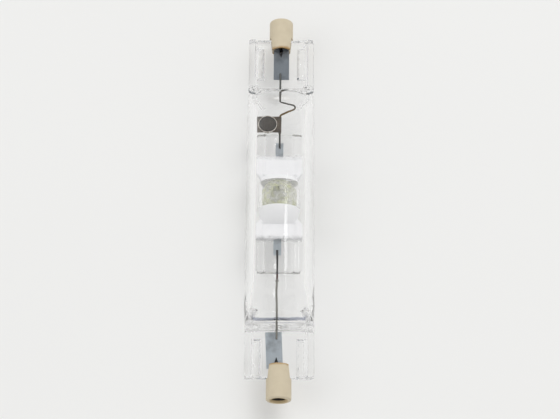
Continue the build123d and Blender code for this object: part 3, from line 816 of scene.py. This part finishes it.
def salt_tree():
    """A chamber's wall up to some height, as a thin skin on it."""
    tree, size = tree_with_inputs("settled_salts", {
        "Radius": 0.0056, "Half Length": 0.007, "Middle": 0.0, "Aside": 0.0, "Top": -0.002, "Stations": 60,
        "Points": 60})
    start = Wire(tree)
    ball = start.node("GeometryNodeMeshUVSphere", {}, {
        "Segments": size["Points"], "Rings": size["Stations"], "Radius": 1.0})
    laid = start.node("GeometryNodeTransform", {}, {"Geometry": ball, "Rotation": (pi / 2, 0.0, 0.0)})
    half_sizes = start.node("ShaderNodeCombineXYZ", {}, {
        0: size["Radius"], 1: size["Half Length"], 2: size["Radius"]})
    middle = start.node("ShaderNodeCombineXYZ", {}, {0: size["Aside"], 1: size["Middle"], 2: 0.0})
    stretched = start.node("GeometryNodeTransform", {}, {
        "Geometry": laid, "Scale": half_sizes, "Translation": middle})
    spot = start.node("GeometryNodeInputPosition")
    depth = start.node("ShaderNodeSeparateXYZ", {}, {"Vector": spot}, output=2)
    wave = start.node("ShaderNodeTexNoise", {"normalize": True}, {"Vector": spot, "Scale": 350.0}) - 0.5
    above = start.node("FunctionNodeCompare", {"operation": "GREATER_THAN"}, {
        0: depth + wave * salt_edge_waver, 1: size["Top"]})
    skin = start.node("GeometryNodeDeleteGeometry", {}, {"Geometry": stretched, "Selection": above})
    return end_tree(tree, size, skin)


def crust():
    """A spotted yellow-green film that the glass shows through."""
    made, start, place = material("salt_crust")
    cloud = noise(start, place, 420.0, detail=4.0)
    spots = noise(start, place, 1100.0, detail=4.0)
    shade = cloud.rises(0.4, 0.62).between(linear((0.9, 0.9, 0.87)), linear((0.85, 0.86, 0.7)))
    return finish_material(made, start.node("ShaderNodeBsdfPrincipled", {}, {
        "Base Color": shade, "Roughness": 0.7, "Specular IOR Level": 0.2,
        "Alpha": spots.rises(0.25, 0.75) * 0.3 + cloud.rises(0.4, 0.62) * 0.15 + 0.12}))


salts = grown("settled_salts", salt_tree(), {
    "Radius": chamber_radius - salt_gap, "Half Length": chamber_half_length - salt_gap,
    "Middle": barrel_middle, "Aside": arc_tube_aside, "Top": salt_top}, crust())
salts.data.flip_normals()
skin_wall = salts.modifiers.new("wall", "SOLIDIFY")
skin_wall.thickness = salt_thickness
skin_wall.offset = 1.0
smooth(salts.data, 60.0)
placed(salts, "halide_salts", "halide_dose")


# The getter: a steel strip rolled round the far wire, with a shallow cup spot-welded on it that holds dark
# pressed powder. Heat has browned the strip, and the cup's rim is still bright.
cup_low, cup_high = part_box("getter_cup")
cup_middle = ((cup_low[0] + cup_high[0]) / 2, (cup_low[1] + cup_high[1]) / 2, 0.0)
ring_spacing = 0.22 * mm
powder_edge = (2.1 * mm, 2.8 * mm)


def merged_copy(node):
    """A copy of a frame node whose loose triangles are joined, for smooth shading with crisp corners."""
    piece = bpy.data.objects.new(node + "_finished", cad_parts[node].data.copy())
    piece.data.materials.clear()
    scene.collection.objects.link(piece)
    shape = bmesh.new()
    shape.from_mesh(piece.data)
    bmesh.ops.remove_doubles(shape, verts=shape.verts, dist=0.000001)
    shape.to_mesh(piece.data)
    shape.free()
    smooth(piece.data, 30.0)
    return piece


def dressed(nodes, finish, slot_name):
    """Merged copies of frame nodes that share one finish."""
    for node in nodes:
        piece = merged_copy(node)
        piece.data.materials.append(finish)
        placed(piece, slot_name, node)


def pressed_powder():
    """Dark powder pressed in rings round the middle of the cup."""
    made, start, place = material("pressed_powder")
    centred = start.node("ShaderNodeMapping", {}, {
        "Vector": place, "Location": [-c for c in cup_middle], "Scale": (1.0, 1.0, 0.0)})
    out = start.node("ShaderNodeVectorMath", {"operation": "LENGTH"}, {0: centred}, output=1)
    rings = start.maths("SINE", out * (2 * pi / ring_spacing)) * 0.5 + 0.5
    grain = noise(start, place, 1500.0)
    shade = (grain * 0.6 + rings * 0.4).between(linear((0.15, 0.135, 0.12)), linear((0.36, 0.33, 0.29)))
    shade = out.rises(*powder_edge).between(shade, linear((0.16, 0.15, 0.14)))
    bump = start.node("ShaderNodeBump", {}, {
        "Strength": 0.5, "Distance": 0.1 * mm, "Height": rings + grain * 0.5})
    return finish_material(made, start.node("ShaderNodeBsdfPrincipled", {}, {
        "Base Color": shade, "Metallic": 0.5, "Roughness": grain * 0.2 + 0.45, "Normal": bump}))


browned_steel = metal("browned_steel", (0.28, 0.24, 0.2), (0.47, 0.42, 0.36), 0.3, 500.0, (0.12, 1.0, 1.0),
                      smudge=0.5)
cup_steel = metal("cup_steel", (0.7, 0.66, 0.6), (0.95, 0.93, 0.9), 0.15, 500.0)
dressed(["getter_strip"], browned_steel, "getter_steel")
dressed(["getter_cup"], cup_steel, "getter_steel")
dressed(["getter_pellet"], pressed_powder(), "getter_pellet")


# The ceramic caps: turned and fired steatite, cream-coloured and matt, pushed over the seals and cemented.
# Heat and cement have browned the rim of each mouth, and each recess is painted darker inside, as painted
# shade.
browned_rim = (55.2 * mm, 56.4 * mm)
rim_waver = 0.8 * mm
# Painted shade in each recess: its wall darker and browner, and its deep part nearly black.
painted_recess_shade_edge = (2.85 * mm, 3.0 * mm)
painted_recess_shade_depth = (65.0 * mm, 65.5 * mm)


def ceramic():
    """Cream ceramic with a fine grain, browned at the mouth, with painted shade darkening the recess and its
    deep part.
    """
    made, start, place = material("cap_ceramic")
    cloud = noise(start, place, 350.0, detail=4.0)
    grain = noise(start, place, 4000.0)
    shade = cloud.between(linear((0.765, 0.715, 0.615)), linear((0.83, 0.785, 0.69)))
    away = start.node("ShaderNodeSeparateXYZ", {}, {"Vector": place}, output=1).size()
    rim = 1 - (away + cloud * rim_waver).rises(*browned_rim)
    shade = rim.between(shade, linear((0.66, 0.53, 0.34)))
    across = start.node("ShaderNodeMapping", {}, {"Vector": place, "Scale": (1.0, 0.0, 1.0)})
    out = start.node("ShaderNodeVectorMath", {"operation": "LENGTH"}, {0: across}, output=1)
    # Painted shade: the recess's wall is drawn darker, and its deep part nearly black.
    inside = 1 - out.rises(*painted_recess_shade_edge)
    shade = inside.between(shade, linear((0.76, 0.68, 0.53)))
    shade = (inside * (1 - away.rises(*painted_recess_shade_depth))).between(shade, linear((0.07, 0.05, 0.03)))
    bump = start.node("ShaderNodeBump", {}, {"Strength": 0.3, "Distance": 0.05 * mm, "Height": grain})
    return finish_material(made, start.node("ShaderNodeBsdfPrincipled", {}, {
        "Base Color": shade, "Roughness": 0.6, "Specular IOR Level": 0.35, "Normal": bump}))


dressed(["end_cap_far", "end_cap_near"], ceramic(), "ceramic")


# The cement: a brown paste that fills the gap between each cap and its seal. It was pressed in soft and
# fired hard, and holds the cap on.
def paste():
    """Matt brown paste with a coarse grain."""
    made, start, place = material("brown_cement")
    cloud = noise(start, place, 1500.0)
    shade = cloud.between(linear((0.5, 0.42, 0.33)), linear((0.66, 0.58, 0.48)))
    return finish_material(made, start.node("ShaderNodeBsdfPrincipled", {}, {
        "Base Color": shade, "Roughness": 0.9}))


dressed(["cement_far", "cement_near"], paste(), "cement")


# The contacts: turned buttons, nickel-plated, at the bottom of the recesses, where the holder's pins press.
# Each is welded to its outer lead, and its plating has tarnished.
nickel_plate = metal("nickel_plate", (0.5, 0.47, 0.43), (0.7, 0.67, 0.62), 0.35, 900.0, smudge=0.4)
dressed(["contact_far", "contact_near"], nickel_plate, "contact_metal")
